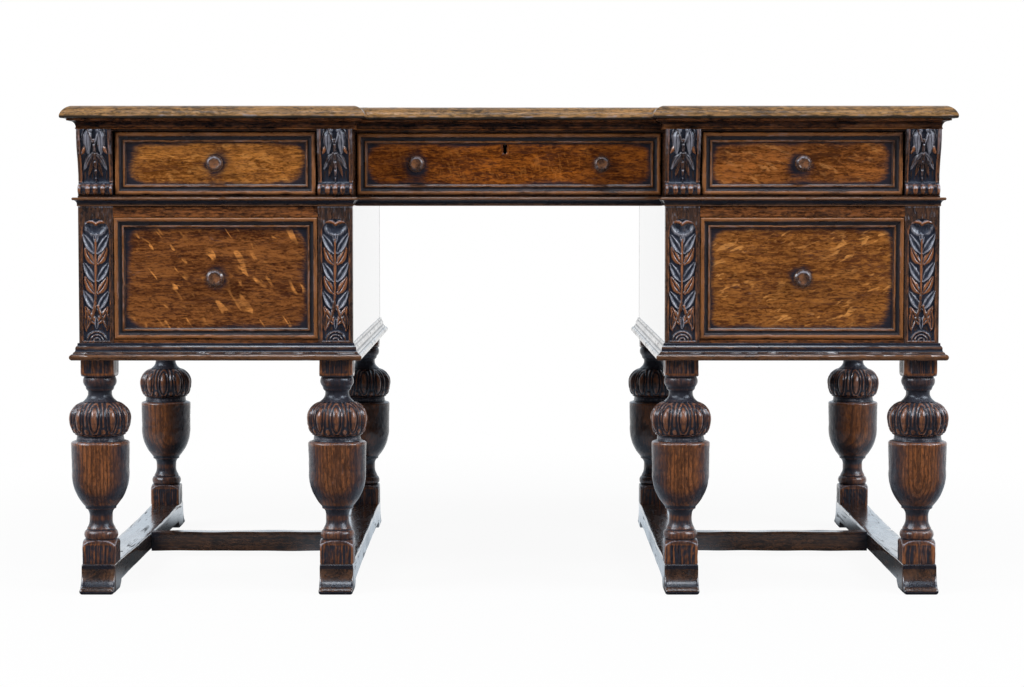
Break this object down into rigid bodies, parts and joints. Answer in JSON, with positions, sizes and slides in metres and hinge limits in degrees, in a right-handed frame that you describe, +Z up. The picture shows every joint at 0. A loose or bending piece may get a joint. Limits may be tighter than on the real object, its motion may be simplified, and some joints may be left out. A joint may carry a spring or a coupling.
{
  "type": "partners desk",
  "caption": "Oak break-front partners desk: drawers on both faces, carved consoles and pilasters, cup-and-cover legs on sledge feet with cross stretchers.",
  "frame": {"origin": "on the floor, under the middle of the desk", "axes": "+X to the right of a person facing the front, along the desk's width; front faces -Y; +Z up"},
  "size_m": [1.424, 0.8804, 0.78],
  "materials": {
    "top_oak": "waxed, golden brown with worn edges",
    "moulding_oak": "dark stained and waxed, rubbed on the arrises",
    "carved_oak": "dark stained, polished on the high points",
    "drawer_front_oak": "quarter-sawn figure under polish, darkened to the edges",
    "knob_oak": "turned and polished",
    "turned_oak": "turned, stained and polished",
    "stand_oak": "stained and waxed, scuffed",
    "carcase_oak": "stained outside, plain inside",
    "drawer_lining_oak": "unfinished, aged",
    "lock_iron": "dull, lightly rusted"
  },
  "bodies": {
    "desk": {"corbels": "carved_oak", "cornice_moulding": "moulding_oak", "desk_top": "top_oak", "frieze_base_moulding": "moulding_oak", "frieze_carcase": "carcase_oak", "left_base_moulding": "moulding_oak", "left_inner_foot": "stand_oak", "left_inner_front_leg": "turned_oak", "left_inner_rear_leg": "turned_oak", "left_outer_foot": "stand_oak", "left_outer_front_leg": "turned_oak", "left_outer_rear_leg": "turned_oak", "left_pedestal_case": "carcase_oak", "left_pedestal_pilasters": "carved_oak", "left_pedestal_rails": "carcase_oak", "left_stretcher": "stand_oak", "locating_dowels": "carcase_oak", "right_base_moulding": "moulding_oak", "right_inner_foot": "stand_oak", "right_inner_front_leg": "turned_oak", "right_inner_rear_leg": "turned_oak", "right_outer_foot": "stand_oak", "right_outer_front_leg": "turned_oak", "right_outer_rear_leg": "turned_oak", "right_pedestal_case": "carcase_oak", "right_pedestal_pilasters": "carved_oak", "right_pedestal_rails": "carcase_oak", "right_stretcher": "stand_oak"},
    "drawer_lock_bolt": {"drawer_lock_bolt": "lock_iron"},
    "front_centre_frieze_drawer": {"drawer_lock_case": "lock_iron", "front_centre_frieze_drawer_box": "drawer_lining_oak", "front_centre_frieze_drawer_front": "drawer_front_oak", "front_centre_frieze_drawer_knobs": "knob_oak"},
    "front_left_frieze_drawer": {"front_left_frieze_drawer_box": "drawer_lining_oak", "front_left_frieze_drawer_front": "drawer_front_oak", "front_left_frieze_drawer_knob": "knob_oak"},
    "front_left_pedestal_drawer": {"front_left_pedestal_drawer_box": "drawer_lining_oak", "front_left_pedestal_drawer_front": "drawer_front_oak", "front_left_pedestal_drawer_knob": "knob_oak"},
    "front_right_frieze_drawer": {"front_right_frieze_drawer_box": "drawer_lining_oak", "front_right_frieze_drawer_front": "drawer_front_oak", "front_right_frieze_drawer_knob": "knob_oak"},
    "front_right_pedestal_drawer": {"front_right_pedestal_drawer_box": "drawer_lining_oak", "front_right_pedestal_drawer_front": "drawer_front_oak", "front_right_pedestal_drawer_knob": "knob_oak"},
    "rear_centre_frieze_drawer": {"rear_centre_frieze_drawer_box": "drawer_lining_oak", "rear_centre_frieze_drawer_front": "drawer_front_oak", "rear_centre_frieze_drawer_knobs": "knob_oak"},
    "rear_left_frieze_drawer": {"rear_left_frieze_drawer_box": "drawer_lining_oak", "rear_left_frieze_drawer_front": "drawer_front_oak", "rear_left_frieze_drawer_knob": "knob_oak"},
    "rear_left_pedestal_drawer": {"rear_left_pedestal_drawer_box": "drawer_lining_oak", "rear_left_pedestal_drawer_front": "drawer_front_oak", "rear_left_pedestal_drawer_knob": "knob_oak"},
    "rear_right_frieze_drawer": {"rear_right_frieze_drawer_box": "drawer_lining_oak", "rear_right_frieze_drawer_front": "drawer_front_oak", "rear_right_frieze_drawer_knob": "knob_oak"},
    "rear_right_pedestal_drawer": {"rear_right_pedestal_drawer_box": "drawer_lining_oak", "rear_right_pedestal_drawer_front": "drawer_front_oak", "rear_right_pedestal_drawer_knob": "knob_oak"}
  },
  "joints": [
    {"name": "front_left_pedestal_drawer_slide", "type": "slide", "parent": "desk", "child": "front_left_pedestal_drawer", "axis": [0, -1, 0], "range_m": [0, 0.27]},
    {"name": "front_right_pedestal_drawer_slide", "type": "slide", "parent": "desk", "child": "front_right_pedestal_drawer", "axis": [0, -1, 0], "range_m": [0, 0.27]},
    {"name": "front_left_frieze_drawer_slide", "type": "slide", "parent": "desk", "child": "front_left_frieze_drawer", "axis": [0, -1, 0], "range_m": [0, 0.27]},
    {"name": "front_centre_frieze_drawer_slide", "type": "slide", "parent": "desk", "child": "front_centre_frieze_drawer", "axis": [0, -1, 0], "range_m": [0, 0.19]},
    {"name": "front_right_frieze_drawer_slide", "type": "slide", "parent": "desk", "child": "front_right_frieze_drawer", "axis": [0, -1, 0], "range_m": [0, 0.27]},
    {"name": "rear_left_pedestal_drawer_slide", "type": "slide", "parent": "desk", "child": "rear_left_pedestal_drawer", "axis": [0, 1, 0], "range_m": [0, 0.27]},
    {"name": "rear_right_pedestal_drawer_slide", "type": "slide", "parent": "desk", "child": "rear_right_pedestal_drawer", "axis": [0, 1, 0], "range_m": [0, 0.27]},
    {"name": "rear_left_frieze_drawer_slide", "type": "slide", "parent": "desk", "child": "rear_left_frieze_drawer", "axis": [0, 1, 0], "range_m": [0, 0.27]},
    {"name": "rear_centre_frieze_drawer_slide", "type": "slide", "parent": "desk", "child": "rear_centre_frieze_drawer", "axis": [0, 1, 0], "range_m": [0, 0.19]},
    {"name": "rear_right_frieze_drawer_slide", "type": "slide", "parent": "desk", "child": "rear_right_frieze_drawer", "axis": [0, 1, 0], "range_m": [0, 0.27]},
    {"name": "drawer_lock_bolt_slide", "type": "slide", "parent": "front_centre_frieze_drawer", "child": "drawer_lock_bolt", "axis": [0, 0, 1], "range_m": [0, 0.008]}
  ]
}
